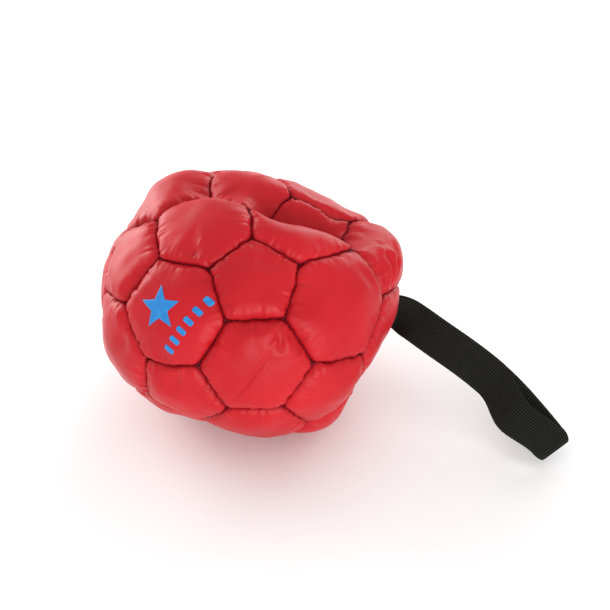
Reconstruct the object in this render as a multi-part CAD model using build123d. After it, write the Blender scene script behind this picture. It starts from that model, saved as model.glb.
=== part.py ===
from build123d import *
import math
import os

# A soft, lightly stuffed 32-panel ball with a webbing hand loop sewn into one of its seams.
# Millimetres, +Z up. The origin lies on the largest flat the ball rests on, at floor level.

# ---- body of the ball ----
CENTRE = Vector(-22, -6, 74)
SEMI_AXES = (96.5, 88.0, 82.5)  # crests of the panels: the ball has slumped under its own weight
REST_DEPTH = 77.5  # how far down the crests reach, the seams between them staying off the floor
REST_SHARPNESS = 36  # higher makes a sharper rim round the flattened patch
FLOOR_DEPTH = 74.6  # the floor squashes the crests flat here
FLOOR_SHARPNESS = 90

# Hollows (and, with a negative depth, swellings): the ends of a line of directions from the centre,
# depth, and spread to each side in degrees
DENTS = (
    ((0.32, 0.05, 0.95), (0.70, 0.10, 0.71), 24.0, 10.5),  # the deep fold across the upper right
    ((-0.30, 0.25, 0.92), (0.22, 0.12, 0.97), 8.0, 10.0),
    ((0.93, 0.23, 0.29), (0.93, 0.23, 0.29), -8.0, 16.0),
    ((-0.50, 0.53, 0.68), (-0.50, 0.53, 0.68), -8.0, 19.0),
    ((0.55, -0.52, -0.66), (0.55, -0.52, -0.66), -4.0, 15.0),
    ((-1.00, 0.00, 0.00), (-1.00, 0.00, 0.00), 3.5, 24.0),
    ((-0.38, -0.57, -0.73), (-0.38, -0.57, -0.73), 9.0, 26.0),
    ((0.93, -0.23, -0.29), (0.93, -0.23, -0.29), 12.5, 19.0),
    ((0.57, 0.50, 0.65), (0.57, 0.50, 0.65), 4.5, 17.0),
)

# ---- the sewn pattern: 12 pentagons and 20 hexagons ----
FRONT_AZIMUTH = -82.9  # where the front pentagon faces, in degrees from +X
FRONT_ELEVATION = 48.1
FRONT_ROLL = 2.7
RING_ELEVATION = math.degrees(math.atan(0.5))  # of the five pentagons next to the front one

# Places where the skin has been dragged sideways: direction, shift (fraction of the radius), spread
PULLS = (
    ((0.97, 0.09, -0.03), (-0.03, 0.10, -0.10), 26.0),
    ((0.03, 0.03, 0.99), (0.00, -0.05, -0.06), 15.0),
    ((0.70, -0.27, 0.66), (0.07, 0.04, 0.05), 14.0),
    ((0.70, 0.10, 0.70), (0.12, 0.17, -0.17), 22.0),
    ((0.49, -0.85, -0.16), (-0.05, 0.00, 0.02), 14.0),
)

# ---- panels ----
PUFF = 6.0  # crest of a panel above its seams
PUFF_ROUNDING = 9.0  # width over which a panel rises from its seam
CORNER_SOFTNESS = 4.0  # blends the rise where two seams meet
SKIN = 1.2  # leather
FLANGE = 6.0  # depth of the turned-in, sewn edge
SEAM_GAP = 0.12  # apex shift giving a hair of room between two flanges
PAD_ROOM = 0.15
GRID = 13  # surface points each way
GRID_REACH = 1.22  # surfaces run past the panel by this factor
BLOCK_TOP = 120.0
EXTRUDE_DEPTH = 110.0

# ---- thread ----
THREAD_RADIUS = 0.5
THREAD_LIFT = 1.0
THREAD_INSET = 0.09  # share of a seam left free at each end
THREAD_POINTS = 6

# ---- filling ----
CORE_ROOM = 0.5  # under the panels' backs

# ---- hand loop: 25 mm webbing, both layers together, fold resting on the floor ----
STRAP_SEAM = (2, 7)  # the pentagons at the two ends of the seam it is sewn into
EXIT_SHARE = 0.62  # along that seam
WEB_WIDTH = 25.0
WEB_THICKNESS = 1.8
LAYER_HALF_GAP = 1.05  # from the middle of the pair to the middle of each layer
TAIL_LENGTH = 24.0  # sewn in, under the seam
SLOT_SIDE_ROOM = 0.6
SLOT_FACE_ROOM = 1.2
LOCK_THREAD_RADIUS = 0.45
HINGE_LIFT = 4.5  # the loop bends this far outside the seam
HINGE_ROOM = 2.5  # between the bend and the end of the sewn-in tails
LOOP_LEAN = 38.0  # the loop's plane leans back this far from the vertical
# Middle of the webbing: across, up in the loop's plane, and out of it towards the front
LOOP_PATH = (
    (116.0, -18.0, -13.0),
    (140.5, -35.5, -8.0),
    (163.5, -55.5, -2.0),
    (180.0, -74.5, 5.0),
    (190.5, -88.5, 9.0),
)
LOOP_STATIONS = 24
FOLD_STATIONS = 6
FOLD_SHARE = 0.985  # of the length, where the fold begins
TWIST_SHARE = 0.14  # of the length, over which it turns from the seam's direction
EYE_START = 0.58  # share of the length where the two layers part
EYE_HALF_GAP = 4.2
FRONT_SAG = 7.0  # the front layer hangs this far below the back one in the eye

# ---- printed mark on the left hexagon: a plain star and a row of plain bars ----
PRINTED_HEXAGON = (0, 4, 5)
PRINT_THICKNESS = 0.2
PRINT_LIFT = 0.05
PRINT_MARGIN = 1.5  # clear of the seams
STAR_PLACE = (-4.5, 3.5)
STAR_RADII = (13.5, 6.0)
STAR_TURN = 90.0
BAR_SIZE = (3.4, 6.4)
BAR_COUNT = 6
BAR_PITCH = 7.4
BAR_ROW_CENTRE = (12.0, -6.5)
BAR_ROW_ANGLE = 50.0


def spherical(azimuth, elevation):
    a, e = math.radians(azimuth), math.radians(elevation)
    return Vector(math.cos(e) * math.cos(a), math.cos(e) * math.sin(a), math.sin(e))


def bell(direction, start, end, spread):
    """1 on the line between two directions, falling off with the angle from it."""
    start, end = Vector(*start).normalized(), Vector(*end).normalized()
    line = end - start
    share = (direction - start).dot(line) / max(line.dot(line), 1e-9)
    nearest = (start + line * max(0.0, min(1.0, share))).normalized()
    cosine = max(-1.0, min(1.0, direction.dot(nearest)))
    return math.exp(-((math.degrees(math.acos(cosine)) / spread) ** 2))


def flattened(radius, direction, depth, sharpness):
    """The radius, kept from reaching further down than the depth, with a rounded rim."""
    if direction.Z > -0.1:
        return radius
    return (radius**-sharpness + (depth / -direction.Z) ** -sharpness) ** (-1 / sharpness)


def crest_radius(direction):
    """Distance from the centre to the envelope over the panels' crests."""
    a, b, c = SEMI_AXES
    radius = 1 / math.sqrt((direction.X / a) ** 2 + (direction.Y / b) ** 2 + (direction.Z / c) ** 2)
    for start, end, depth, spread in DENTS:
        radius -= depth * bell(direction, start, end, spread)
    return flattened(radius, direction, REST_DEPTH, REST_SHARPNESS)


def seam_point(direction, lift=0.0):
    return CENTRE + direction * (crest_radius(direction) - PUFF + lift)


def pulled(direction):
    shifted = direction
    for place, shift, spread in PULLS:
        shifted = shifted + Vector(*shift) * bell(direction, place, place, spread)
    return shifted.normalized()


# ---- directions of the twelve pentagons ----
front = spherical(FRONT_AZIMUTH, FRONT_ELEVATION)
level_up = (Vector(0, 0, 1) - front * front.Z).normalized()
level_right = level_up.cross(front)
roll = math.radians(FRONT_ROLL)
pattern_up = level_up * math.cos(roll) + level_right * math.sin(roll)
pattern_right = pattern_up.cross(front)


def pattern_direction(angle, elevation):
    local = spherical(angle, elevation)
    return pattern_right * local.X + pattern_up * local.Y + front * local.Z


poles = [pattern_direction(0, 90)]
poles += [pattern_direction(90 - 72 * k, RING_ELEVATION) for k in range(5)]
poles += [pattern_direction(54 - 72 * k, -RING_ELEVATION) for k in range(5)]
poles.append(pattern_direction(0, -90))

NEIGHBOUR_COSINE = 0.3
neighbours = {
    i: [j for j in range(12) if j != i and poles[i].dot(poles[j]) > NEIGHBOUR_COSINE] for i in range(12)
}


def corner(i, j):
    """Corner of pentagon i on its spoke towards pentagon j."""
    return pulled((poles[i] * 2 + poles[j]).normalized())


class Panel:
    def __init__(self, name, corners):
        self.name = name
        total = Vector(0, 0, 0)
        for point in corners:
            total = total + point
        self.axis = total.normalized()
        self.up = (corners[0] - self.axis * corners[0].dot(self.axis)).normalized()
        self.right = self.up.cross(self.axis)
        self.corners = sorted(corners, key=self.angle_of)
        self.walls = []
        for k, point in enumerate(self.corners):
            normal = point.cross(self.corners[(k + 1) % len(corners)]).normalized()
            if normal.dot(self.axis) < 0:
                normal = normal * -1
            self.walls.append(normal)
        self.reach = max(math.tan(math.radians(point.get_angle(self.axis))) for point in corners)
        self.bottom = self.floor_height()

    def angle_of(self, point):
        return math.atan2(point.dot(self.up), point.dot(self.right))

    def rise(self, direction):
        """0 at the seams and nearly 1 over the middle."""
        radius = crest_radius(direction)
        gaps = [radius * direction.dot(normal) for normal in self.walls]
        nearest = min(gaps)
        blend = sum(math.exp((nearest - gap) / CORNER_SOFTNESS) for gap in gaps)
        return math.tanh((nearest - CORNER_SOFTNESS * math.log(blend)) / PUFF_ROUNDING)

    def direction(self, across, along):
        return (self.axis + self.right * across + self.up * along).normalized()

    def point(self, across, along, depth):
        direction = self.direction(across, along)
        radius = crest_radius(direction) - PUFF * (1 - self.rise(direction))
        radius = flattened(radius, direction, FLOOR_DEPTH, FLOOR_SHARPNESS)
        return CENTRE + direction * (radius - depth)

    def height(self, point):
        return (point - CENTRE).dot(self.axis)

    def floor_height(self):
        """Level of the panel's flat back: a flange's depth below the lowest spot of its outline."""
        lows = []
        for k, point in enumerate(self.corners):
            following = self.corners[(k + 1) % len(self.corners)]
            for share in (0.0, 0.33, 0.67):
                direction = (point * (1 - share) + following * share).normalized()
                lows.append(self.height(seam_point(direction)))
        return min(lows) - FLANGE

    def below(self, depth):
        """Everything under this panel's surface, or under a surface the given depth below it."""
        steps = [self.reach * GRID_REACH * (2 * k / (GRID - 1) - 1) for k in range(GRID)]
        rows = [[self.point(across, along, depth) for across in steps] for along in steps]
        face = Face.make_surface_from_array_of_points(rows, tol=0.02, min_deg=3, max_deg=3)
        return Solid.extrude(face, self.axis * -EXTRUDE_DEPTH)

    def block(self, inset, bottom):
        """Wedge from a level near the centre out past the surface, its walls set in from the seams."""
        lean = min(normal.dot(self.axis) for normal in self.walls)
        apex = CENTRE + self.axis * (inset / lean)
        rings = []
        for level in (bottom, BLOCK_TOP):
            reach = level - inset / lean
            ring = [apex + point * (reach / point.dot(self.axis)) for point in self.corners]
            rings.append(Wire.make_polygon(ring, close=True))
        return Solid.make_loft(rings, ruled=True)

    def layer(self, depth, inset, bottom):
        return self.block(inset, bottom) & self.below(depth)


def single(shape):
    """The largest solid of a result, without scraps left at a surface's rim."""
    return max(shape.solids(), key=lambda solid: solid.volume)


pentagons = []
for i in range(12):
    pentagons.append(Panel(f"panel_pentagon_{i + 1:02d}", [corner(i, j) for j in neighbours[i]]))

hexagons = []
for i in range(12):
    for j in neighbours[i]:
        for k in neighbours[j]:
            if i < j < k and k in neighbours[i]:
                spokes = ((i, j), (j, i), (j, k), (k, j), (k, i), (i, k))
                name = f"panel_hexagon_{len(hexagons) + 1:02d}"
                hexagons.append(Panel(name, [corner(a, b) for a, b in spokes]))
                if (i, j, k) == PRINTED_HEXAGON:
                    printed = hexagons[-1]

# ---- the seam that holds the hand loop, and the slot left in it for the webbing ----
upper_end = corner(*STRAP_SEAM)
lower_end = corner(*reversed(STRAP_SEAM))
exit_radial = (upper_end * (1 - EXIT_SHARE) + lower_end * EXIT_SHARE).normalized()
exit_point = seam_point(exit_radial)
web_up = (seam_point(upper_end) - seam_point(lower_end)).normalized()
exit_direction = (exit_radial - web_up * exit_radial.dot(web_up)).normalized()
exit_plane = Plane(origin=exit_point, x_dir=web_up, z_dir=exit_direction)
pair_half_thickness = LAYER_HALF_GAP + WEB_THICKNESS / 2
slot_size = (WEB_WIDTH + 2 * SLOT_SIDE_ROOM, 2 * (pair_half_thickness + SLOT_FACE_ROOM), 2 * TAIL_LENGTH + 2)
slot = exit_plane * Box(*slot_size)

# ---- leather panels and the foam pads sewn into them ----
floor_block = Pos(0, 0, -20) * Box(300, 300, 40)
shapes = {}
pads = {"pentagon_pads": [], "hexagon_pads": []}
for panel in pentagons + hexagons:
    shell = panel.layer(0, SEAM_GAP, panel.bottom)
    hollow = panel.layer(SKIN, SEAM_GAP + SKIN, panel.bottom - 1)
    pad = panel.layer(SKIN + PAD_ROOM, SEAM_GAP + SKIN + PAD_ROOM, panel.bottom)
    tray = shell - hollow - floor_block
    if upper_end in panel.corners or lower_end in panel.corners:
        tray = tray - slot
        pad = pad - slot
    shapes[panel.name] = single(tray)
    group = "pentagon_pads" if "pentagon" in panel.name else "hexagon_pads"
    pads[group].append(single(pad))
for group, solids in pads.items():
    shapes[group] = Compound(children=solids)

# ---- stitched seams: one run of thread lying in the groove of each ----
pentagon_seams, hexagon_seams = [], []
for i in range(12):
    for j in neighbours[i]:
        if i < j and (i, j) != STRAP_SEAM:
            hexagon_seams.append((corner(i, j), corner(j, i)))
        for k in neighbours[i]:
            if j < k and k in neighbours[j]:
                pentagon_seams.append((corner(i, j), corner(i, k)))


def thread(start, end):
    """A run of thread of diamond section, made of short straight pieces along the groove."""
    step = (1 - 2 * THREAD_INSET) / (THREAD_POINTS - 1)
    shares = [THREAD_INSET + step * k for k in range(THREAD_POINTS)]
    sideways = start.cross(end).normalized() * THREAD_RADIUS
    rings = []
    for share in shares:
        direction = (start * (1 - share) + end * share).normalized()
        centre, outward = seam_point(direction, THREAD_LIFT), direction * THREAD_RADIUS
        ring = [centre + outward, centre + sideways, centre - outward, centre - sideways]
        rings.append(Wire.make_polygon(ring, close=True))
    return Solid.make_loft(rings, ruled=True)


shapes["pentagon_seam_thread"] = Compound(children=[thread(*ends) for ends in pentagon_seams])
shapes["hexagon_seam_thread"] = Compound(children=[thread(*ends) for ends in hexagon_seams])

# ---- loose fibre filling: a faceted body inside the flat backs of the panels ----
def core_corner(point):
    around = [panel for panel in pentagons + hexagons if point in panel.corners]
    radius = min(panel.bottom / point.dot(panel.axis) for panel in around)
    return CENTRE + point * (radius - CORE_ROOM)


facets = []
for panel in pentagons + hexagons:
    hub = CENTRE + panel.axis * (panel.bottom - CORE_ROOM)
    ring = [core_corner(point) for point in panel.corners]
    for k, point in enumerate(ring):
        outline = Wire.make_polygon([hub, point, ring[(k + 1) % len(ring)]], close=True)
        facets.append(Face(outline))
shapes["core_filling"] = single(Solid(Shell(facets)) - slot)

# ---- the loop's sewn-in tails and the two rows of stitches that lock them in the seam ----
tail_top = HINGE_LIFT - HINGE_ROOM
tail_box = Box(WEB_WIDTH, WEB_THICKNESS, TAIL_LENGTH + tail_top)
tail_middle = (tail_top - TAIL_LENGTH) / 2
sides = (-1, 1)
tails = [exit_plane * Pos(0, side * LAYER_HALF_GAP, tail_middle) * tail_box for side in sides]
shapes["loop_tails"] = Compound(children=[tail.solid() for tail in tails])
lock_offset = pair_half_thickness + SLOT_FACE_ROOM / 2
lock = Rot(0, 90, 0) * Cylinder(LOCK_THREAD_RADIUS, WEB_WIDTH)
locks = [exit_plane * Pos(0, side * lock_offset, -2 * LOCK_THREAD_RADIUS) * lock for side in sides]
shapes["loop_lock_thread"] = Compound(children=[thread_run.solid() for thread_run in locks])

# ---- the free part of the hand loop ----
lean = math.radians(LOOP_LEAN)
plane_up = Vector(0, math.sin(lean), math.cos(lean))
plane_out = Vector(0, -math.cos(lean), math.sin(lean))
hinge_point = exit_point + exit_direction * HINGE_LIFT
loop_points = [hinge_point]
for across, up, out in LOOP_PATH:
    loop_points.append(CENTRE + Vector(across, 0, 0) + plane_up * up + plane_out * out)
first_run = loop_points[1] - hinge_point
first_run = first_run - web_up * first_run.dot(web_up)
last_run = loop_points[-1] - loop_points[-2]
middle = Spline(*loop_points, tangents=(first_run.normalized(), last_run.normalized()))


def eye_opening(share):
    """0 where the layers lie together, 1 in the middle of the open eye."""
    if share <= EYE_START:
        return 0.0
    return math.sin(math.pi * (share - EYE_START) / (1 - EYE_START)) ** 2


def layer_gap(share):
    return LAYER_HALF_GAP + EYE_HALF_GAP * eye_opening(share)


def web_section(share, offset, sag, turn):
    """Rectangle across the webbing; turn is how far it has gone round the fold, in radians."""
    tangent = (middle % share).normalized()
    across_web = plane_out.cross(tangent).normalized()
    root_share = max(0.0, 1 - share / TWIST_SHARE)
    across_web = across_web * (1 - root_share) + web_up * root_share
    across_web = (across_web - tangent * across_web.dot(tangent)).normalized()
    face = tangent.cross(across_web)
    centre = middle @ share + face * offset - across_web * sag
    outer = (face * math.cos(turn) + tangent * math.sin(turn)) * (WEB_THICKNESS / 2)
    half_width = across_web * (WEB_WIDTH / 2)
    ring = [centre + half_width + outer, centre - half_width + outer]
    ring += [centre - half_width - outer, centre + half_width - outer]
    return Wire.make_polygon(ring, close=True)


shares = [k / (LOOP_STATIONS - 1) * FOLD_SHARE for k in range(LOOP_STATIONS)]
sections = [web_section(share, -layer_gap(share), 0, math.pi) for share in shares]
for k in range(1, FOLD_STATIONS):
    turn = math.pi * (1 - k / FOLD_STATIONS)
    share = FOLD_SHARE + (1 - FOLD_SHARE) * math.sin(turn)
    sections.append(web_section(share, layer_gap(FOLD_SHARE) * math.cos(turn), 0, turn))
for share in reversed(shares):
    sections.append(web_section(share, layer_gap(share), FRONT_SAG * eye_opening(share), 0))
shapes["hand_loop"] = Solid.make_loft(sections, ruled=True)

# ---- printed mark ----
print_right = (Vector(1, 0, 0) - printed.axis * printed.axis.X).normalized()
print_plane = Plane(origin=CENTRE + printed.axis * printed.bottom, x_dir=print_right, z_dir=printed.axis)
star_points = []
for k in range(10):
    angle = math.radians(STAR_TURN + 36 * k)
    radius = STAR_RADII[k % 2]
    star_points.append((radius * math.cos(angle), radius * math.sin(angle)))
mark = [Pos(*STAR_PLACE) * make_face(Polyline(*star_points, close=True))]
for k in range(BAR_COUNT):
    along = (k - (BAR_COUNT - 1) / 2) * BAR_PITCH
    place = Pos(*BAR_ROW_CENTRE) * Rot(0, 0, BAR_ROW_ANGLE) * Pos(along, 0)
    mark.append(place * RectangleRounded(*BAR_SIZE, BAR_SIZE[0] / 3))
film = printed.layer(-PRINT_LIFT - PRINT_THICKNESS, PRINT_MARGIN, printed.bottom) - printed.below(-PRINT_LIFT)
prints = []
for sketch in mark:
    stamp = extrude(print_plane * sketch, amount=EXTRUDE_DEPTH / 2)
    prints.append(single(film & stamp))
shapes["printed_mark"] = Compound(children=prints)

os.makedirs("parts", exist_ok=True)
for name, shape in shapes.items():
    export_step(shape, f"parts/{name}.step")

# The joint in record.json is written from these
print("hinge point", hinge_point)
print("hinge axis", web_up)
print("loop length", middle.length)
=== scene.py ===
import math

import bmesh
import bpy
import numpy as np
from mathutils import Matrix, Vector
from mathutils.bvhtree import BVHTree


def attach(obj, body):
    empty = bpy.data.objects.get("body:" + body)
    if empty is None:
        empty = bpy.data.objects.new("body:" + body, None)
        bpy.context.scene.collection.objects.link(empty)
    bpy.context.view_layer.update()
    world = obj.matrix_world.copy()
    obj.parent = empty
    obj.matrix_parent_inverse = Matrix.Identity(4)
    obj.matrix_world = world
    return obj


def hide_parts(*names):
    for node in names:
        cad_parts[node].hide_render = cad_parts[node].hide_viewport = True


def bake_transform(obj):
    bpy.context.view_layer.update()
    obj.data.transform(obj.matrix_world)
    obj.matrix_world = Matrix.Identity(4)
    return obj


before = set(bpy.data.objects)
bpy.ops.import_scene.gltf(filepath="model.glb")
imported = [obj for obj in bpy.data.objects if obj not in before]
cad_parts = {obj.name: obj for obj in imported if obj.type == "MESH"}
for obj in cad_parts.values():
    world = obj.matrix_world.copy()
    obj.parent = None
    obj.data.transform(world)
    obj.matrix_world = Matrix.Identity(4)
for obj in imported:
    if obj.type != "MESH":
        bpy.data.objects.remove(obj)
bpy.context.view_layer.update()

MM = 0.001
SEED = 7
CLEAR_OF_FLOOR = 0.05

# ---- shape of the ball, in millimetres, as in the CAD part ----
CENTRE = np.array([-22.0, -6.0, 74.0])
SEMI_AXES = np.array([96.5, 88.0, 82.5])
REST_DEPTH = 77.5
REST_SHARPNESS = 36
FLOOR_DEPTH = 73.9  # the leather is pressed flat here
FLOOR_SHARPNESS = 90
# Hollows (swellings where the depth is negative): ends of a line of directions, depth, spread
DENTS = (
    ((0.32, 0.05, 0.95), (0.70, 0.10, 0.71), 24.0, 10.5),
    ((-0.30, 0.25, 0.92), (0.22, 0.12, 0.97), 8.0, 10.0),
    ((0.93, 0.23, 0.29), (0.93, 0.23, 0.29), -8.0, 16.0),
    ((-0.50, 0.53, 0.68), (-0.50, 0.53, 0.68), -8.0, 19.0),
    ((0.55, -0.52, -0.66), (0.55, -0.52, -0.66), -4.0, 15.0),
    ((-1.00, 0.00, 0.00), (-1.00, 0.00, 0.00), 3.5, 24.0),
    ((-0.38, -0.57, -0.73), (-0.38, -0.57, -0.73), 9.0, 26.0),
    ((0.93, -0.23, -0.29), (0.93, -0.23, -0.29), 12.5, 19.0),
    ((0.57, 0.50, 0.65), (0.57, 0.50, 0.65), 4.5, 17.0),
)
FRONT_AZIMUTH = -82.9
FRONT_ELEVATION = 48.1
FRONT_ROLL = 2.7
RING_ELEVATION = math.degrees(math.atan(0.5))
PULLS = (
    ((0.97, 0.09, -0.03), (-0.03, 0.10, -0.10), 26.0),
    ((0.03, 0.03, 0.99), (0.00, -0.05, -0.06), 15.0),
    ((0.70, -0.27, 0.66), (0.07, 0.04, 0.05), 14.0),
    ((0.70, 0.10, 0.70), (0.12, 0.17, -0.17), 22.0),
    ((0.49, -0.85, -0.16), (-0.05, 0.00, 0.02), 14.0),
)
STRAP_SEAM = (2, 7)
EXIT_SHARE = 0.62
PRINTED_HEXAGON = (0, 4, 5)
CAD_PUFF = 6.0

# ---- how a panel's skin rises out of its seams ----
SEAM_DEPTH = 6.5  # below the envelope of the crests
EDGE_RISE = 3.6
EDGE_WIDTH = 5.5
EDGE_POWER = 2.6  # these two shape the roll of leather along a seam
EDGE_STEEPNESS = 0.48
DOME = 2.4  # the crown over the whole panel
CORNER_SOFTNESS = 1.3
SKIN = 1.2
FLANGE = 4.5  # depth of the turned-in edge
SEAM_SHADE = 0.5  # width over which painted shade darkens the leather into a seam groove

# Puckers gathered by the stitches: wavelength along the seam, height
PUCKERS = ((3.9, 0.26), (6.3, 0.34), (10.3, 0.30))
PUCKER_REACH = 2.2
PUCKER_HANDOVER = 1.5  # width over which one seam's puckers give way to the next one's in a corner
GATHER_WAVE = 19.0  # the puckers come and go along the seam
# Slack in the leather: wavelength, height, number of waves
SLACK_WAVES = ((46.0, 0.55, 9), (24.0, 0.22, 9), (13.0, 0.08, 12))
SLACK_START = 9.0  # full from this far inside the seams
# Seams wander a little, as hand sewing does: wavelength, distance, number of waves
WANDER_WAVES = ((22.0, 0.32, 5), (9.0, 0.22, 6), (5.0, 0.12, 6))
WANDER_REACH = 5.0
# Creases (ridges where the depth is negative): ends of a line of directions, depth, half width
CREASES = (
    ((0.87, -0.11, 0.48), (0.92, -0.24, 0.31), 2.3, 1.9),
    ((0.88, 0.03, 0.47), (0.94, -0.18, 0.29), 2.7, 2.1),
    ((0.92, 0.12, 0.38), (0.96, -0.11, 0.27), 2.0, 2.0),
    ((0.83, -0.04, 0.55), (0.95, 0.04, 0.32), -1.5, 3.0),
    ((0.46, 0.24, 0.85), (0.70, 0.24, 0.67), -5.0, 9.0),
    ((0.76, -0.34, 0.56), (0.84, -0.36, 0.42), 1.2, 3.0),
    ((0.25, -0.84, 0.47), (0.25, -0.91, 0.34), 2.0, 1.9),
    ((0.27, -0.83, 0.47), (0.37, -0.87, 0.34), 1.6, 1.9),
    ((0.24, -0.84, 0.47), (0.18, -0.90, 0.39), 1.2, 1.9),
    ((-0.10, -0.99, -0.06), (0.21, -0.91, 0.36), 0.6, 1.5),
    ((-0.36, -0.45, 0.82), (-0.33, -0.47, 0.82), 1.8, 3.4),
    ((0.10, -0.42, 0.90), (0.26, -0.46, 0.85), 1.0, 3.0),
)

CREASE_MARGIN = 0.5  # from the seams, and the width over which a crease starts
CREASE_START = 7.0
CREASE_BANK = 0.4  # height of the soft banks, as a share of the depth
CREASE_BANK_PLACE = 2.1  # in half widths from the middle
CREASE_END = 0.35  # share of the depth that is left at the ends

# ---- meshes ----
SIDE_STEPS = 44
RING_SHARES = np.concatenate([np.linspace(0, 0.80, 18), np.linspace(0.83, 0.97, 9), [0.985, 0.995, 1.0]])
INNER_START = 4  # rings in from the edge, where the skin's inner face begins
INNER_STRIDE = 2  # the inner face follows every second ring, clear of the finest wrinkles
PAD_RINGS = 8  # of the cloth's grid, leaving the turned-in edges free
PAD_ROOM = 0.9
PAD_DEPTH = 5.0
CORE_DEPTH = 17.0
CORE_LUMPS = 60.0  # higher makes a smoother filling

# ---- cloth: the skins are blown up a little against their pinned seams, and wrinkle there ----
CLOTH_SIDE_STEPS = 12
CLOTH_SHARES = np.array([0.0, 0.16, 0.32, 0.46, 0.58, 0.69, 0.78, 0.86, 0.93, 1.0])
CLOTH_FRAMES = 20
CLOTH_PRESSURE = 4.0
CLOTH_SLACK = -0.02
CLOTH_STIFFNESS = 40.0
CLOTH_CAP = 2.0
CLOTH_SMOOTHING = 3
CLOTH_CALM = 0.6  # no star of wrinkles in the middle of a panel, out to this share of it

# ---- thread ----
STITCH_PITCH = 3.0
STITCH_LENGTH = 2.3
STITCH_RADIUS = 0.32
STITCH_LIFT = 1.2

# ---- webbing, its middle line as in the CAD part ----
WEB_WIDTH = 24.8
WEB_THICKNESS = 1.5
LAYER_HALF_GAP = 1.05
SLOT_HALF_OPENING = 2.3
SLOT_HALF_LENGTH = 17.5
SLOT_END = 5.0  # length over which the slot closes at its ends
SLOT_FADE = 6.0  # how far from the slot the skin is still pushed aside
HINGE_LIFT = 4.5
TAIL_LENGTH = 13.0
LOOP_LEAN = 38.0
LOOP_PATH = (
    (116.0, -18.0, -13.0),
    (140.5, -35.5, -8.0),
    (163.5, -55.5, -2.0),
    (180.0, -74.5, 5.0),
    (190.5, -88.5, 9.0),
)
ROUTE_STEPS = 700
FOLD_STEPS = 18
TWIST_LENGTH = 24.0
EYE_START = 0.58
EYE_HALF_GAP = 4.2
FOLD_OPENING = 3.4
FOLD_NARROWING = 0.15  # the corners of the fold are pinched round, over this length to each side
FOLD_REACH = 4.5
FRONT_SAG = 7.0
RIB_PITCH = 1.65
RIB_HEIGHT = 0.16
RIB_STEPS = 6
YARN_PITCH = 1.7
WEB_COLUMNS = 25
WEB_EDGE_POWER = 14  # higher makes a squarer edge
WEB_EDGE_SHARE = 0.15  # of the thickness, left at the very edge
WEB_CLEAR_OF_FLOOR = 0.1

# ---- print ----
PRINT_LIFT = 0.12
PRINT_THICKNESS = 0.1
STAR_PLACE = (-4.5, 3.5)
STAR_RADII = (13.5, 6.0)
BAR_SIZE = (3.4, 6.4)
BAR_COUNT = 6
BAR_PITCH = 7.4
BAR_ROW_CENTRE = (12.0, -6.5)
BAR_ROW_ANGLE = 50.0
PRINT_RINGS = 10
STAR_SIDE_PIECES = 6
BAR_SIDE_PIECES = 4
PRINT_RAY_START = 130.0  # from the centre, well outside the panel


def unit(v):
    v = np.asarray(v, float)
    return v / np.linalg.norm(v, axis=-1, keepdims=True)


def smooth(share):
    share = np.clip(share, 0, 1)
    return share * share * (3 - 2 * share)


def spherical(azimuth, elevation):
    a, e = math.radians(azimuth), math.radians(elevation)
    return np.array([math.cos(e) * math.cos(a), math.cos(e) * math.sin(a), math.sin(e)])


def angle_from(directions, start, end):
    """Angle in radians from a line of directions, and how far along it the nearest one is."""
    start, end = unit(start), unit(end)
    line = end - start
    share = np.clip((directions - start) @ line / max(line @ line, 1e-9), 0, 1)
    nearest = unit(start + share[..., None] * line)
    return np.arccos(np.clip((directions * nearest).sum(axis=-1), -1, 1)), share


def bell(directions, start, end, spread):
    angle, _ = angle_from(directions, start, end)
    return np.exp(-((np.degrees(angle) / spread) ** 2))


def flattened(radius, directions, depth, sharpness):
    down = np.maximum(-directions[..., 2], 1e-3)
    level = (radius**-sharpness + (depth / down) ** -sharpness) ** (-1 / sharpness)
    return np.where(directions[..., 2] < -0.1, level, radius)


def crest_radius(directions):
    radius = 1 / np.linalg.norm(directions / SEMI_AXES, axis=-1)
    for start, end, depth, spread in DENTS:
        radius = radius - depth * bell(directions, start, end, spread)
    return flattened(radius, directions, REST_DEPTH, REST_SHARPNESS)


def pulled(direction):
    shifted = direction.copy()
    for place, shift, spread in PULLS:
        shifted = shifted + np.array(shift) * bell(direction, place, place, spread)
    return unit(shifted)


# ---- the sewn pattern ----
front = spherical(FRONT_AZIMUTH, FRONT_ELEVATION)
level_up = unit(np.array([0, 0, 1.0]) - front * front[2])
level_right = np.cross(level_up, front)
roll = math.radians(FRONT_ROLL)
pattern_up = level_up * math.cos(roll) + level_right * math.sin(roll)
pattern_right = np.cross(pattern_up, front)


def pattern_direction(angle, elevation):
    local = spherical(angle, elevation)
    return pattern_right * local[0] + pattern_up * local[1] + front * local[2]


poles = [pattern_direction(0, 90)]
poles += [pattern_direction(90 - 72 * k, RING_ELEVATION) for k in range(5)]
poles += [pattern_direction(54 - 72 * k, -RING_ELEVATION) for k in range(5)]
poles.append(pattern_direction(0, -90))
neighbours = {i: [j for j in range(12) if j != i and poles[i] @ poles[j] > 0.3] for i in range(12)}


def corner(i, j):
    return pulled(unit(2 * poles[i] + poles[j]))


upper_end = corner(*STRAP_SEAM)
lower_end = corner(*reversed(STRAP_SEAM))

random = np.random.default_rng(SEED)
waves = []
for wavelength, height, count in SLACK_WAVES:
    for _ in range(count):
        wave = unit(random.normal(size=3)) * 2 * math.pi / wavelength
        waves.append((wave, random.uniform(0, 6.3), height))


def slack(points):
    """Gentle unevenness of the leather, from waves through space."""
    total = 0
    for wave, phase, height in waves:
        total = total + height / 2 * np.sin(points @ wave + phase)
    return total


random_wander = np.random.default_rng(SEED + 1)
wander_waves = []
for wavelength, distance, count in WANDER_WAVES:
    for _ in range(count):
        wave = unit(random_wander.normal(size=3)) * 2 * math.pi / wavelength
        shift = unit(random_wander.normal(size=3)) * distance
        wander_waves.append((wave, random_wander.uniform(0, 6.3), shift))


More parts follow.
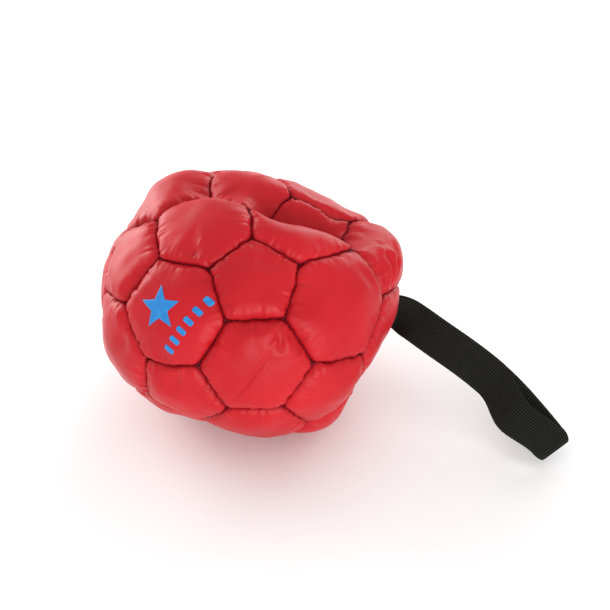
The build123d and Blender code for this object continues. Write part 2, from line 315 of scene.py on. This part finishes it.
def wander(points):
    """How far the seams have wandered at these points."""
    return sum(np.sin(points @ wave + phase)[..., None] * shift for wave, phase, shift in wander_waves)


def crease_depth(directions, radius):
    """Sharp valleys with a soft bank on each side, fading out towards their ends."""
    total = np.zeros(radius.shape)
    for start, end, depth, width in CREASES:
        angle, share = angle_from(directions, start, end)
        away = angle * radius / width
        strength = CREASE_END + (1 - CREASE_END) * np.sin(math.pi * share)
        bank = CREASE_BANK * np.exp(-((away - CREASE_BANK_PLACE) ** 2))
        total += depth * strength * (np.exp(-(away**2)) - bank)
    return total


class Panel:
    def __init__(self, kind, number, corners):
        self.kind = kind
        self.number = number
        self.node = f"panel_{kind}_{number:02d}"
        self.axis = unit(sum(corners))
        self.up = unit(corners[0] - self.axis * (corners[0] @ self.axis))
        self.right = np.cross(self.up, self.axis)
        order = sorted(corners, key=lambda c: math.atan2(c @ self.up, c @ self.right))
        self.corners = np.array(order)
        following = np.roll(self.corners, -1, axis=0)
        normals = unit(np.cross(self.corners, following))
        self.walls = normals * np.sign(normals @ self.axis)[:, None]
        self.runs = unit(following - self.corners)
        self.phases = random.uniform(0, 2 * math.pi, (len(corners), len(PUCKERS)))
        self.has_strap = any(np.allclose(c, upper_end) for c in corners)
        self.has_strap = self.has_strap and any(np.allclose(c, lower_end) for c in corners)

    def outline(self, side_steps):
        """Directions round the outline."""
        following = np.roll(self.corners, -1, axis=0)
        shares = np.arange(side_steps) / side_steps
        points = [unit(a * (1 - s) + b * s) for a, b in zip(self.corners, following) for s in shares]
        return np.array(points)

    def grid(self, side_steps, ring_shares):
        """Directions of a round grid, rings by steps; the first ring is the middle, repeated."""
        flat = self.outline(side_steps)
        flat = flat / (flat @ self.axis)[:, None]
        shares = np.asarray(ring_shares)[:, None, None]
        return unit(self.axis * (1 - shares) + flat[None] * shares)

    def gaps(self, directions):
        """Distance from each seam plane, in millimetres."""
        return crest_radius(directions)[..., None] * (directions @ self.walls.T)

    def inside(self, directions):
        """Distance from the outline, rounded in the corners."""
        gaps = self.gaps(directions)
        nearest = gaps.min(axis=-1)
        blend = np.exp((nearest[..., None] - gaps) / CORNER_SOFTNESS).sum(axis=-1)
        return np.maximum(nearest - CORNER_SOFTNESS * np.log(blend), 0)

    def puckers(self, directions, radius):
        """Short gathers running in from the stitches, sharp in their valleys."""
        gaps = np.maximum(self.gaps(directions), 0)
        total = 0
        for m, run in enumerate(self.runs):
            along = radius * ((directions - self.corners[m]) @ run)
            gathered = 0.6 + 0.4 * np.sin(2 * math.pi * along / GATHER_WAVE + self.phases[m, 0] * 3)
            ripple = 0
            for (wavelength, height), phase in zip(PUCKERS, self.phases[m]):
                pinched = 2 * np.abs(np.cos(math.pi * along / wavelength + phase)) - 1.27
                ripple = ripple + height * pinched
            away = gaps[..., m] / PUCKER_REACH
            closest = np.exp(-np.maximum(gaps[..., m] - gaps.min(axis=-1), 0) / PUCKER_HANDOVER)
            total = total + ripple * gathered * closest * away * np.exp(1 - away)
        return total

    def surface(self, directions):
        """Points of the leather's outer face."""
        inside = self.inside(directions)
        share = np.clip(inside / EDGE_WIDTH, 0, 1)
        edge = (1 - (1 - share) ** EDGE_POWER) ** EDGE_STEEPNESS
        widest = self.gaps(self.axis[None]).min()
        dome = 1 - (1 - np.clip(inside / widest, 0, 1)) ** 2
        crest = crest_radius(directions)
        radius = crest - SEAM_DEPTH + EDGE_RISE * edge + DOME * dome
        loose = smooth(inside / SLACK_START)
        radius = radius + slack(directions * crest[..., None]) * loose + self.puckers(directions, crest)
        creased = smooth((inside - CREASE_MARGIN) / CREASE_START)
        radius = radius - crease_depth(directions, crest) * creased
        radius = flattened(radius, directions, FLOOR_DEPTH, FLOOR_SHARPNESS)
        return CENTRE + directions * radius[..., None]


panels = [Panel("pentagon", i + 1, [corner(i, j) for j in neighbours[i]]) for i in range(12)]
hexagons = []
for i in range(12):
    for j in neighbours[i]:
        for k in neighbours[j]:
            if i < j < k and k in neighbours[i]:
                spokes = ((i, j), (j, i), (j, k), (k, j), (k, i), (i, k))
                hexagons.append(Panel("hexagon", len(hexagons) + 1, [corner(a, b) for a, b in spokes]))
                if (i, j, k) == PRINTED_HEXAGON:
                    printed = hexagons[-1]
panels += hexagons


# ---- mesh helpers ----
def new_object(name, points, faces, material):
    """A smooth-shaded mesh from points in millimetres."""
    mesh = bpy.data.meshes.new(name)
    mesh.from_pydata([tuple(p) for p in np.asarray(points) * MM], [], [tuple(f) for f in faces])
    mesh.validate()
    mesh.materials.append(material)
    mesh.polygons.foreach_set("use_smooth", [True] * len(mesh.polygons))
    obj = bpy.data.objects.new(name, mesh)
    bpy.context.scene.collection.objects.link(obj)
    return obj


def ring_faces(rings, steps, offset=0):
    """Quads between closed rings of points."""
    faces = []
    for r in range(rings - 1):
        for s in range(steps):
            a, b = offset + r * steps + s, offset + r * steps + (s + 1) % steps
            faces.append((a, a + steps, b + steps, b))
    return faces


def closed_form(first, rings, last):
    """Points and faces of a closed form: a point, rings of points, and a point."""
    count, steps = rings.shape[:2]
    points = np.concatenate([first[None], rings.reshape(-1, 3), last[None]])
    faces = ring_faces(count, steps, offset=1)
    end = 1 + (count - 1) * steps
    for s in range(steps):
        faces.append((0, 1 + s, 1 + (s + 1) % steps))
        faces.append((len(points) - 1, end + (s + 1) % steps, end + s))
    return points, faces


def shell(panel, outer):
    """Closed leather piece: the outer skin, its turned-in edge, and the inside of the skin."""
    rings = len(outer)
    inward = unit(CENTRE - outer)
    edge = outer[-1]
    towards_axis = unit(CENTRE + panel.axis * np.linalg.norm(edge - CENTRE, axis=1)[:, None] - edge)
    low = edge + inward[-1] * FLANGE
    under = [low, low + towards_axis * SKIN, edge + (inward[-1] + towards_axis) * SKIN]
    for r in range(rings - INNER_START, 0, -INNER_STRIDE):
        under.append(outer[r] + inward[r] * SKIN)
    all_rings = np.concatenate([outer[1:], np.array(under)])
    return closed_form(outer[0, 0], all_rings, outer[0, 0] + inward[0, 0] * SKIN)


# ---- materials ----
ONE_MM_BANDS = 2 * math.pi / 20 / MM  # the wave texture's scale that puts its bands 1 mm apart


class Shader:
    """A Principled material with helpers for its textures."""

    def __init__(self, name, roughness, specular=0.5):
        self.material = bpy.data.materials.new(name)
        self.material.use_nodes = True
        self.nodes = self.material.node_tree.nodes
        self.links = self.material.node_tree.links
        self.principled = self.nodes["Principled BSDF"]
        self.principled.inputs["Roughness"].default_value = roughness
        self.principled.inputs["Specular IOR Level"].default_value = specular
        self.coordinates = self.nodes.new("ShaderNodeTexCoord")
        self.normal = None

    def noise(self, scale, detail=3, space="Object"):
        texture = self.nodes.new("ShaderNodeTexNoise")
        texture.inputs["Scale"].default_value = scale
        texture.inputs["Detail"].default_value = detail
        self.links.new(self.coordinates.outputs[space], texture.inputs["Vector"])
        return texture.outputs["Fac"]

    def cells(self, scale, space="Object"):
        texture = self.nodes.new("ShaderNodeTexVoronoi")
        texture.inputs["Scale"].default_value = scale
        self.links.new(self.coordinates.outputs[space], texture.inputs["Vector"])
        return texture.outputs["Distance"]

    def bands(self, scale, direction, space="UV"):
        texture = self.nodes.new("ShaderNodeTexWave")
        texture.bands_direction = direction
        texture.inputs["Scale"].default_value = scale
        self.links.new(self.coordinates.outputs[space], texture.inputs["Vector"])
        return texture.outputs["Fac"]

    def attribute(self, name):
        node = self.nodes.new("ShaderNodeAttribute")
        node.attribute_name = name
        return node.outputs["Fac"]

    def ramp(self, value, low, high, start=0.3, end=0.7):
        node = self.nodes.new("ShaderNodeValToRGB")
        node.color_ramp.elements[0].position = start
        node.color_ramp.elements[0].color = (*low, 1)
        node.color_ramp.elements[1].position = end
        node.color_ramp.elements[1].color = (*high, 1)
        self.links.new(value, node.inputs["Fac"])
        return node.outputs["Color"]

    def product(self, first, second):
        node = self.nodes.new("ShaderNodeMath")
        node.operation = "MULTIPLY"
        self.links.new(first, node.inputs[0])
        self.links.new(second, node.inputs[1])
        return node.outputs["Value"]

    def mixed(self, colour, value, other):
        node = self.nodes.new("ShaderNodeMix")
        node.data_type = "RGBA"
        self.links.new(value, node.inputs["Factor"])
        self.links.new(colour, node.inputs["A"])
        node.inputs["B"].default_value = (*other, 1)
        return node.outputs["Result"]

    def colour(self, output):
        self.links.new(output, self.principled.inputs["Base Color"])

    def roughness(self, value, low, high):
        node = self.nodes.new("ShaderNodeMapRange")
        node.inputs["To Min"].default_value = low
        node.inputs["To Max"].default_value = high
        self.links.new(value, node.inputs["Value"])
        self.links.new(node.outputs["Result"], self.principled.inputs["Roughness"])

    def bump(self, height, strength, distance):
        node = self.nodes.new("ShaderNodeBump")
        node.inputs["Strength"].default_value = strength
        node.inputs["Distance"].default_value = distance
        self.links.new(height, node.inputs["Height"])
        if self.normal is not None:
            self.links.new(self.normal, node.inputs["Normal"])
        self.normal = node.outputs["Normal"]
        self.links.new(self.normal, self.principled.inputs["Normal"])


def leather_material():
    made = Shader("red_leather", 0.4, 0.18)
    tone = made.ramp(made.noise(24, 3), (0.44, 0.008, 0.013), (0.53, 0.012, 0.019))
    # painted shade: the colour darkens to a near-black red towards each seam, standing in for the shade in
    # the seam grooves
    made.colour(made.mixed(tone, made.attribute("seam"), (0.12, 0.002, 0.006)))
    made.roughness(made.noise(60, 2), 0.34, 0.46)
    made.bump(made.cells(1150), 0.16, 0.0002)
    made.bump(made.noise(420, 3), 0.14, 0.0003)
    made.bump(made.noise(120, 4), 0.20, 0.0007)
    made.principled.inputs["Sheen Weight"].default_value = 0.25
    made.principled.inputs["Sheen Roughness"].default_value = 0.12
    made.principled.inputs["Sheen Tint"].default_value = (1.0, 0.72, 0.74, 1)
    return made.material


def webbing_material():
    made = Shader("black_webbing", 0.8, 0.12)
    base = made.ramp(made.noise(180, 3, "UV"), (0.003, 0.0034, 0.0024), (0.006, 0.0065, 0.0045))
    ribs = made.bands(ONE_MM_BANDS / RIB_PITCH, "X")
    yarns = made.bands(ONE_MM_BANDS / YARN_PITCH, "Y")
    made.colour(made.mixed(base, made.product(ribs, yarns), (0.030, 0.032, 0.022)))
    made.bump(yarns, 0.6, 0.00035)
    made.bump(made.noise(2600, 2, "UV"), 0.35, 0.0002)
    return made.material


def thread_material():
    made = Shader("dark_red_thread", 0.75, 0.15)
    made.colour(made.ramp(made.noise(900, 2), (0.12, 0.003, 0.006), (0.22, 0.007, 0.012)))
    made.bump(made.noise(3200, 2), 0.5, 0.0001)
    return made.material


def print_material():
    made = Shader("blue_print", 0.5, 0.4)
    made.colour(made.ramp(made.noise(300, 4), (0.006, 0.17, 0.50), (0.015, 0.25, 0.62)))
    made.bump(made.cells(1150), 0.15, 0.0001)
    return made.material


def foam_material():
    made = Shader("cream_foam", 0.9, 0.2)
    made.colour(made.ramp(made.noise(400, 3), (0.74, 0.70, 0.60), (0.84, 0.81, 0.72)))
    made.bump(made.cells(900), 0.6, 0.0004)
    return made.material


def fibre_material():
    made = Shader("white_fibre", 0.95, 0.2)
    made.colour(made.ramp(made.noise(250, 5), (0.72, 0.72, 0.70), (0.88, 0.88, 0.86)))
    made.bump(made.noise(700, 6), 0.8, 0.001)
    return made.material


LEATHER = leather_material()
WEBBING = webbing_material()
THREAD = thread_material()
PRINT = print_material()
FOAM = foam_material()
FIBRE = fibre_material()


# ---- the seam that holds the strap ----
def seam_point(direction):
    return CENTRE + direction * (crest_radius(direction) - CAD_PUFF)


exit_radial = unit(upper_end * (1 - EXIT_SHARE) + lower_end * EXIT_SHARE)
exit_point = seam_point(exit_radial)
web_up = unit(seam_point(upper_end) - seam_point(lower_end))
exit_direction = unit(exit_radial - web_up * (exit_radial @ web_up))
exit_side = np.cross(exit_direction, web_up)


def opened(panel, points):
    """The skin pushed aside where the webbing comes out between two panels."""
    if not panel.has_strap:
        return points
    side = math.copysign(1, (panel.axis - exit_radial) @ exit_side)
    along = np.abs((points - exit_point) @ web_up)
    across = np.maximum(((points - exit_point) @ exit_side) * side, 0)
    push = SLOT_HALF_OPENING * smooth((SLOT_HALF_LENGTH - along) / SLOT_END) * np.exp(-across / SLOT_FADE)
    return points + exit_side * side * push[..., None]


# ---- the leather blown up and wrinkled by a cloth simulation ----
def evened_out(displacement):
    """The displacements of a round grid without their finest ripples, which leather is too stiff for."""
    for _ in range(CLOTH_SMOOTHING):
        sideways = (np.roll(displacement, 1, axis=1) + np.roll(displacement, -1, axis=1)) / 2
        displacement = displacement * 0.5 + sideways * 0.5
        inner = (displacement[:-2] + displacement[2:]) / 2
        displacement[1:-1] = displacement[1:-1] * 0.5 + inner * 0.5
        displacement[0] = displacement[1].mean(axis=0)
    average = displacement.mean(axis=1, keepdims=True)
    return average + (displacement - average) * smooth(CLOTH_SHARES / CLOTH_CALM)[:, None, None]


def simulated(grids):
    """How far the points of the coarse grids move, their seams being held."""
    points, faces, seams = [], [], []
    for grid in grids:
        rings, steps = grid.shape[:2]
        offset = len(points)
        points.append(grid[0, 0])
        points.extend(grid[1:].reshape(-1, 3))
        faces += [(offset, offset + 1 + s, offset + 1 + (s + 1) % steps) for s in range(steps)]
        faces += ring_faces(rings - 1, steps, offset + 1)
        seams += range(len(points) - steps, len(points))
    cloth = new_object("cloth", points, faces, LEATHER)
    group = cloth.vertex_groups.new(name="seams")
    group.add(seams, 1.0, "REPLACE")
    settings = cloth.modifiers.new("cloth", "CLOTH").settings
    settings.quality = 5
    settings.mass = 0.3
    settings.tension_stiffness = CLOTH_STIFFNESS
    settings.compression_stiffness = CLOTH_STIFFNESS
    settings.shear_stiffness = CLOTH_STIFFNESS
    settings.bending_stiffness = CLOTH_STIFFNESS
    settings.vertex_group_mass = "seams"
    settings.use_pressure = True
    settings.uniform_pressure_force = CLOTH_PRESSURE
    settings.shrink_min = CLOTH_SLACK
    settings.effector_weights.gravity = 0
    for number in range(1, CLOTH_FRAMES + 1):
        bpy.context.scene.frame_set(number)
    evaluated = cloth.evaluated_get(bpy.context.evaluated_depsgraph_get()).data
    after = np.array([v.co for v in evaluated.vertices]) / MM
    bpy.data.objects.remove(cloth)
    bpy.context.scene.frame_set(1)
    moved = after - np.array(points)
    size = np.linalg.norm(moved, axis=1, keepdims=True)
    moved = moved * np.minimum(1, CLOTH_CAP / np.maximum(size, 1e-6))
    displacements, start = [], 0
    for grid in grids:
        rings, steps = grid.shape[:2]
        end = start + 1 + (rings - 1) * steps
        middle_ring = np.repeat(moved[start][None, None], steps, axis=1)
        displacement = np.concatenate([middle_ring, moved[start + 1 : end].reshape(-1, steps, 3)])
        displacements.append(evened_out(displacement))
        start = end
    return displacements


def cubic(values, places, closed):
    """Values along the first axis, smoothly interpolated at fractional places."""
    count = len(values)
    base = np.floor(places).astype(int)
    share = (places - base).reshape(-1, *[1] * (values.ndim - 1))
    picks = [base + k for k in (-1, 0, 1, 2)]
    picks = [p % count if closed else np.clip(p, 0, count - 1) for p in picks]
    a, b, c, d = (values[p] for p in picks)
    bend = 2 * a - 5 * b + 4 * c - d + share * (3 * (b - c) + d - a)
    return b + 0.5 * share * (c - a + share * bend)


def refined(coarse, steps):
    """Displacements of a cloth grid taken to the rings and steps of the skin."""
    rings = np.interp(RING_SHARES, CLOTH_SHARES, np.arange(len(CLOTH_SHARES)))
    across = cubic(coarse, rings, closed=False)
    places = np.arange(steps) * coarse.shape[1] / steps
    return cubic(across.transpose(1, 0, 2), places, closed=True).transpose(1, 0, 2)


coarse_grids = [opened(p, p.surface(p.grid(CLOTH_SIDE_STEPS, CLOTH_SHARES))) for p in panels]
displacements = simulated(coarse_grids)

# ---- the panels ----
for index, panel in enumerate(panels):
    directions = panel.grid(SIDE_STEPS, RING_SHARES)
    outer = opened(panel, panel.surface(directions))
    outer = outer + refined(displacements[index], outer.shape[1])
    inside = panel.inside(directions)
    outer = outer + wander(outer) * np.exp(-inside / WANDER_REACH)[..., None]
    outer[..., 2] = np.maximum(outer[..., 2], CLEAR_OF_FLOOR)
    points, faces = shell(panel, outer)
    points[:, 2] = np.maximum(points[:, 2], CLEAR_OF_FLOOR)
    skin = new_object(f"skin_{panel.kind}_{panel.number:02d}", points, faces, LEATHER)
    # painted shade mask for the leather colour: 1 at the seams, fading inwards over SEAM_SHADE
    seam = np.ones(len(points), np.float32)
    seam[0] = 0
    seam[1 : 1 + inside[1:].size] = np.exp(-inside[1:].ravel() / SEAM_SHADE)
    skin.data.attributes.new("seam", "FLOAT", "POINT").data.foreach_set("value", seam)
    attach(skin, "ball")
    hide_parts(panel.node)
    if panel is printed:
        printed_tree = BVHTree.FromPolygons([Vector(p) for p in points], faces)


# ---- pads and filling, hidden inside ----
def several(name, forms, material):
    """One object made of several closed forms."""
    points, faces, offset = [], [], 0
    for form_points, form_faces in forms:
        points.append(form_points)
        faces += [tuple(offset + v for v in face) for face in form_faces]
        offset += len(form_points)
    return new_object(name, np.concatenate(points), faces, material)


for kind in ("pentagon", "hexagon"):
    forms = []
    for panel, grid, displacement in zip(panels, coarse_grids, displacements):
        if panel.kind == kind:
            top = (grid + displacement)[:PAD_RINGS]
            top = top + unit(CENTRE - top) * (SKIN + PAD_ROOM)
            bottom = (top + unit(CENTRE - top) * PAD_DEPTH)[::-1]
            forms.append(closed_form(top[0, 0], np.concatenate([top[1:], bottom[:-1]]), bottom[-1, 0]))
    pad = several(f"foam_{kind}", forms, FOAM)
    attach(pad, "ball")
    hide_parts(f"{kind}_pads")

filling_mesh = bmesh.new()
bmesh.ops.create_icosphere(filling_mesh, subdivisions=5, radius=1)
filling_directions = unit(np.array([v.co for v in filling_mesh.verts]))
filling_faces = [[v.index for v in face.verts] for face in filling_mesh.faces]
filling_mesh.free()
filling_radius = crest_radius(filling_directions) - CORE_DEPTH
filling_points = filling_directions * filling_radius[:, None]
filling_points = filling_points * (1 + slack(filling_points) / CORE_LUMPS)[:, None] + CENTRE
filling = new_object("fibre_filling", filling_points, filling_faces, FIBRE)
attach(filling, "ball")
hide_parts("core_filling")


# ---- stitches, one every few millimetres in the groove of each seam ----
def stitch(middle_direction, run):
    """A short rounded bit of thread."""
    crest = float(crest_radius(middle_direction))
    centre = CENTRE + middle_direction * (crest - SEAM_DEPTH + STITCH_LIFT)
    centre = centre + wander(centre)
    side = unit(np.cross(middle_direction, run))
    rings = []
    for place, width in ((-0.46, 0.6), (-0.3, 1.0), (0.3, 1.0), (0.46, 0.6)):
        ring = []
        for k in range(6):
            turn = k * math.pi / 3
            out = middle_direction * math.cos(turn) + side * math.sin(turn)
            ring.append(centre + run * place * STITCH_LENGTH + out * width * STITCH_RADIUS)
        rings.append(ring)
    tips = [centre + run * place * STITCH_LENGTH for place in (-0.5, 0.5)]
    return closed_form(tips[0], np.array(rings), tips[1])


def seam_stitches(start, end):
    length = float(np.linalg.norm(start - end) * crest_radius(unit(start + end)))
    count = round(length / STITCH_PITCH)
    forms = []
    for k in range(count):
        share = (k + 0.5) / count
        direction = unit(start * (1 - share) + end * share)
        run = unit((end - start) - direction * ((end - start) @ direction))
        forms.append(stitch(direction, run))
    return forms


pentagon_stitches, hexagon_stitches = [], []
for i in range(12):
    for j in neighbours[i]:
        if i < j and (i, j) != STRAP_SEAM:
            hexagon_stitches += seam_stitches(corner(i, j), corner(j, i))
        for k in neighbours[i]:
            if j < k and k in neighbours[j]:
                pentagon_stitches += seam_stitches(corner(i, j), corner(i, k))
for kind, forms in (("pentagon", pentagon_stitches), ("hexagon", hexagon_stitches)):
    stitches = several(f"stitches_{kind}", forms, THREAD)
    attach(stitches, "ball")
    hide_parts(f"{kind}_seam_thread")

lock_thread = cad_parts["loop_lock_thread"]
lock_thread.data.materials.clear()
lock_thread.data.materials.append(THREAD)


# ---- the hand loop: one run of webbing out along its back, round the fold and back in front ----
def spline(points, count):
    """A smooth natural cubic curve through the points."""
    points = np.array(points)
    steps = np.linalg.norm(np.diff(points, axis=0), axis=1)
    knots = np.concatenate([[0], np.cumsum(steps)])
    size = len(points)
    matrix, right = np.eye(size), np.zeros((size, 3))
    for k in range(1, size - 1):
        matrix[k, k - 1 : k + 2] = steps[k - 1], 2 * (steps[k - 1] + steps[k]), steps[k]
        slopes = (points[k + 1] - points[k]) / steps[k] - (points[k] - points[k - 1]) / steps[k - 1]
        right[k] = 6 * slopes
    bends = np.linalg.solve(matrix, right)
    places = np.linspace(0, knots[-1], count)
    piece = np.clip(np.searchsorted(knots, places) - 1, 0, size - 2)
    step = steps[piece][:, None]
    after = (places - knots[piece])[:, None]
    before = step - after
    curve = (bends[piece] * before**3 + bends[piece + 1] * after**3) / (6 * step)
    curve += (points[piece] / step - bends[piece] * step / 6) * before
    return curve + (points[piece + 1] / step - bends[piece + 1] * step / 6) * after


leaning = math.radians(LOOP_LEAN)
plane_up = np.array([0, math.sin(leaning), math.cos(leaning)])
plane_out = np.array([0, -math.cos(leaning), math.sin(leaning)])
hinge_point = exit_point + exit_direction * HINGE_LIFT
route = [exit_point - exit_direction * depth for depth in (TAIL_LENGTH, 5, -2)]
for across, up, out in LOOP_PATH:
    route.append(CENTRE + np.array([across, 0, 0]) + plane_up * up + plane_out * out)
middle = spline(route, ROUTE_STEPS)
tangents = unit(np.gradient(middle, axis=0))
hinge_index = int(np.argmin(np.linalg.norm(middle - hinge_point, axis=1)))
run = np.concatenate([[0], np.cumsum(np.linalg.norm(np.diff(middle, axis=0), axis=1))])
run = run - run[hinge_index]
twist = smooth(run / TWIST_LENGTH)[:, None]
across_web = web_up * (1 - twist) + unit(np.cross(plane_out, tangents)) * twist
across_web = unit(across_web - tangents * (across_web * tangents).sum(axis=1, keepdims=True))
faces_out = np.cross(tangents, across_web)
eye_share = np.clip((run / run[-1] - EYE_START) / (1 - EYE_START), 0, 1)
opening = np.sin(math.pi * eye_share) ** 2
back = middle - faces_out * (LAYER_HALF_GAP + EYE_HALF_GAP * opening)[:, None]
front_gap = LAYER_HALF_GAP + EYE_HALF_GAP * opening + FOLD_OPENING * smooth(eye_share)
front = middle + faces_out * front_gap[:, None] - across_web * FRONT_SAG * opening[:, None]
fold_radius = LAYER_HALF_GAP + FOLD_OPENING / 2
fold_middle = (back[-1] + front[-1]) / 2
turns = np.linspace(0, math.pi, FOLD_STEPS)[1:-1, None]
fold = fold_middle + (tangents[-1] * np.sin(turns) - faces_out[-1] * np.cos(turns)) * fold_radius
line = np.concatenate([back, fold, front[::-1]])
across_line = np.concatenate([across_web, np.repeat(across_web[-1:], len(fold), axis=0), across_web[::-1]])
travel = np.concatenate([[0], np.cumsum(np.linalg.norm(np.diff(line, axis=0), axis=1))])
stations = np.arange(0, travel[-1], RIB_PITCH / RIB_STEPS)
line = np.array([np.interp(stations, travel, line[:, k]) for k in range(3)]).T
across_line = unit(np.array([np.interp(stations, travel, across_line[:, k]) for k in range(3)]).T)
outward = unit(np.cross(across_line, np.gradient(line, axis=0)))

fold_station = travel[len(back)] / 2 + travel[-len(front) - 1] / 2
narrowed = 1 - FOLD_NARROWING * np.exp(-(((stations - fold_station) / FOLD_REACH) ** 2))

columns = np.sin(np.linspace(-1, 1, WEB_COLUMNS) * math.pi / 2)
fullness = np.sqrt(1 - np.abs(columns) ** WEB_EDGE_POWER)
half_thickness = WEB_THICKNESS / 2 * np.maximum(fullness, WEB_EDGE_SHARE)
rib = np.cos(2 * math.pi * stations / RIB_PITCH)[:, None] * RIB_HEIGHT * (1 - columns**8)
sides = []
for sign, order in ((1, slice(None)), (-1, slice(None, None, -1))):
    half_widths = narrowed[:, None] * (columns[order] * WEB_WIDTH / 2)[None]
    width_part = across_line[:, None] * half_widths[..., None]
    height = sign * half_thickness[order][None] + rib[:, order]
    sides.append(line[:, None] + width_part + outward[:, None] * height[..., None])
web_rings = np.concatenate(sides, axis=1)
web_points, web_faces = closed_form(web_rings[0].mean(axis=0), web_rings, web_rings[-1].mean(axis=0))
web_points[:, 2] = np.maximum(web_points[:, 2], WEB_CLEAR_OF_FLOOR)
webbing = new_object("webbing", web_points, web_faces, WEBBING)


def face_outwards(obj):
    working = bmesh.new()
    working.from_mesh(obj.data)
    bmesh.ops.recalc_face_normals(working, faces=working.faces)
    working.to_mesh(obj.data)
    working.free()


face_outwards(webbing)
ring_size = web_rings.shape[1]
place_along = np.concatenate([[0], np.repeat(stations, ring_size), [stations[-1]]]) * MM
ring_across = np.concatenate([columns, columns[::-1]]) * WEB_WIDTH / 2
place_across = np.concatenate([[0], np.tile(ring_across, len(stations)), [0]]) * MM
corner_points = np.zeros(len(webbing.data.loops), int)
webbing.data.loops.foreach_get("vertex_index", corner_points)
layout = webbing.data.uv_layers.new(name="weave")
layout.data.foreach_set("uv", np.stack([place_along, place_across], axis=1)[corner_points].ravel())
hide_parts("hand_loop", "loop_tails")
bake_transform(webbing)

# ---- print ----
print_right = unit(np.array([1, 0, 0]) - printed.axis * printed.axis[0])
print_up = np.cross(printed.axis, print_right)


def printed_form(outline, place, angle):
    """A thin film of ink over the panel, filling an outline drawn round its own middle."""
    cosine, sine = math.cos(angle), math.sin(angle)
    flat = [(0.0, 0.0)]
    for k in range(PRINT_RINGS):
        share = (k + 1) / PRINT_RINGS
        flat += [(x * share, y * share) for x, y in outline]
    top = []
    for x, y in flat:
        across = place[0] + x * cosine - y * sine
        along = place[1] + x * sine + y * cosine
        above = CENTRE + printed.axis * PRINT_RAY_START + print_right * across + print_up * along
        hit, normal, _, _ = printed_tree.ray_cast(Vector(above), Vector(-printed.axis))
        top.append(np.array(hit) + unit(normal) * (PRINT_LIFT + PRINT_THICKNESS))
    top = np.array(top)
    rings = top[1:].reshape(PRINT_RINGS, len(outline), 3)
    under = rings[::-1] - printed.axis * PRINT_THICKNESS
    return closed_form(top[0], np.concatenate([rings, under]), top[0] - printed.axis * PRINT_THICKNESS)


def subdivided(outline, pieces):
    """The outline with each side cut into pieces."""
    cut_outline = []
    for (x, y), (next_x, next_y) in zip(outline, outline[1:] + outline[:1]):
        for k in range(pieces):
            cut_outline.append((x + (next_x - x) * k / pieces, y + (next_y - y) * k / pieces))
    return cut_outline


star = []
for k in range(10):
    angle = math.radians(90 + 36 * k)
    star.append((STAR_RADII[k % 2] * math.cos(angle), STAR_RADII[k % 2] * math.sin(angle)))
half_width, half_height = BAR_SIZE[0] / 2, BAR_SIZE[1] / 2
cut = BAR_SIZE[0] / 5
bar = [(half_width, half_height - cut), (half_width - cut, half_height), (cut - half_width, half_height)]
bar += [(-half_width, half_height - cut), (-half_width, cut - half_height), (cut - half_width, -half_height)]
bar += [(half_width - cut, -half_height), (half_width, cut - half_height)]
forms = [printed_form(subdivided(star, STAR_SIDE_PIECES), STAR_PLACE, 0)]
row_angle = math.radians(BAR_ROW_ANGLE)
for k in range(BAR_COUNT):
    along = (k - (BAR_COUNT - 1) / 2) * BAR_PITCH
    place = (
        BAR_ROW_CENTRE[0] + along * math.cos(row_angle),
        BAR_ROW_CENTRE[1] + along * math.sin(row_angle),
    )
    forms.append(printed_form(subdivided(bar, BAR_SIDE_PIECES), place, row_angle))
mark = several("printed_star_and_bars", forms, PRINT)
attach(mark, "ball")
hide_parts("printed_mark")

# ---- floor, light and camera ----
VIEW_ELEVATION = 38.0
VIEW_DISTANCE = 0.92
VIEW_ASIDE = 0.036  # the ball sits left of the picture's middle
LENS = 86.0

floor_mesh = bpy.data.meshes.new("floor")
floor_mesh.from_pydata([(-6, -6, 0), (6, -6, 0), (6, 6, 0), (-6, 6, 0)], [], [(0, 1, 2, 3)])
floor = bpy.data.objects.new("floor", floor_mesh)
bpy.context.scene.collection.objects.link(floor)
pale = Shader("pale_floor", 0.85, 0.2)
pale.colour(pale.ramp(pale.noise(3, 2), (0.93, 0.93, 0.93), (0.95, 0.95, 0.95)))
floor_mesh.materials.append(pale.material)

world = bpy.data.worlds.new("studio")
bpy.context.scene.world = world
world.use_nodes = True
world.node_tree.nodes["Background"].inputs["Color"].default_value = (1, 1, 1, 1)
world.node_tree.nodes["Background"].inputs["Strength"].default_value = 0.78
bpy.context.scene.view_settings.view_transform = "Standard"


def area_light(name, place, target, size, power):
    data = bpy.data.lights.new(name, "AREA")
    data.size = size
    data.energy = power
    light = bpy.data.objects.new(name, data)
    light.location = place
    light.rotation_euler = (Vector(target) - Vector(place)).to_track_quat("-Z", "Y").to_euler()
    bpy.context.scene.collection.objects.link(light)


area_light("key", (-0.95, 0.75, 0.4), (0, 0, 0.08), 0.9, 14)
area_light("back", (0.55, 0.95, 0.55), (0, 0, 0.08), 0.9, 7)
area_light("low_front", (0.35, -1.0, 0.16), (0, 0, 0.06), 0.7, 9)

camera_data = bpy.data.cameras.new("camera")
camera_data.lens = LENS
camera = bpy.data.objects.new("camera", camera_data)
lean = math.radians(VIEW_ELEVATION)
target = Vector(CENTRE * MM) + Vector((VIEW_ASIDE, 0, 0))
camera.location = target + Vector((0, -math.cos(lean), math.sin(lean))) * VIEW_DISTANCE
camera.rotation_euler = (target - camera.location).to_track_quat("-Z", "Y").to_euler()
bpy.context.scene.collection.objects.link(camera)
bpy.context.scene.camera = camera
